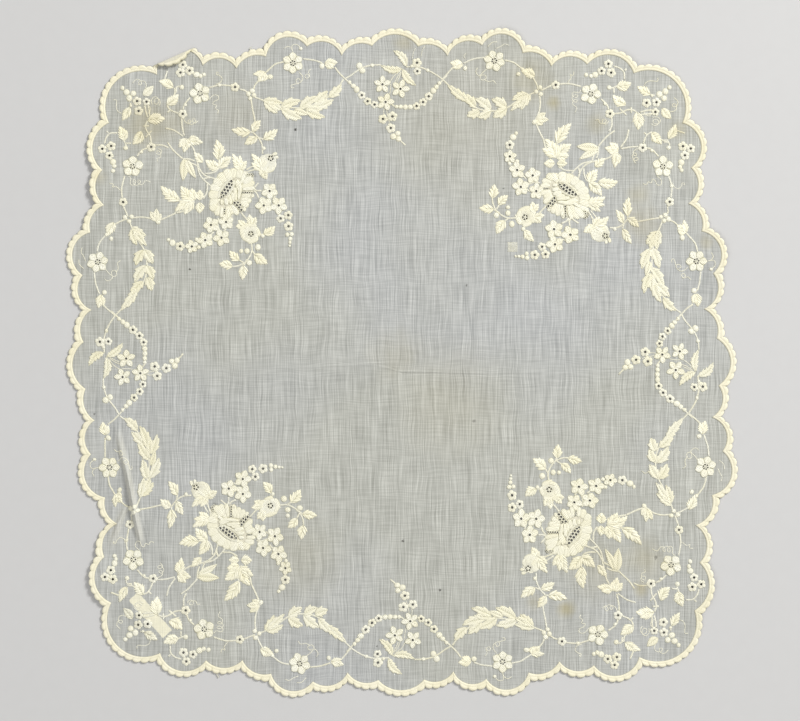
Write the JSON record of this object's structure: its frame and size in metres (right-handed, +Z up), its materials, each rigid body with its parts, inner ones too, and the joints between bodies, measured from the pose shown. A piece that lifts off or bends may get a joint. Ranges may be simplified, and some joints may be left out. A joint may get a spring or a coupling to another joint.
{
  "type": "whitework handkerchief",
  "caption": "Square sheer lawn handkerchief with floral whitework embroidery and a scalloped, buttonhole-stitched edge, lying flat with a lobe of its edge turned over.",
  "frame": {"origin": "on the surface that the cloth lies on, under the middle of its outline", "axes": "+Z up out of the cloth's face, +X to the right and +Y to the top edge as it is seen from above"},
  "size_m": [0.4216, 0.4198, 0.0043],
  "materials": {
    "lawn": "sheer, fine, slubby plain weave",
    "ribbon": "dense plain ribbon, matt"
  },
  "bodies": {
    "root": {"cloth": "lawn", "backing_strip": "ribbon"}
  },
  "joints": []
}
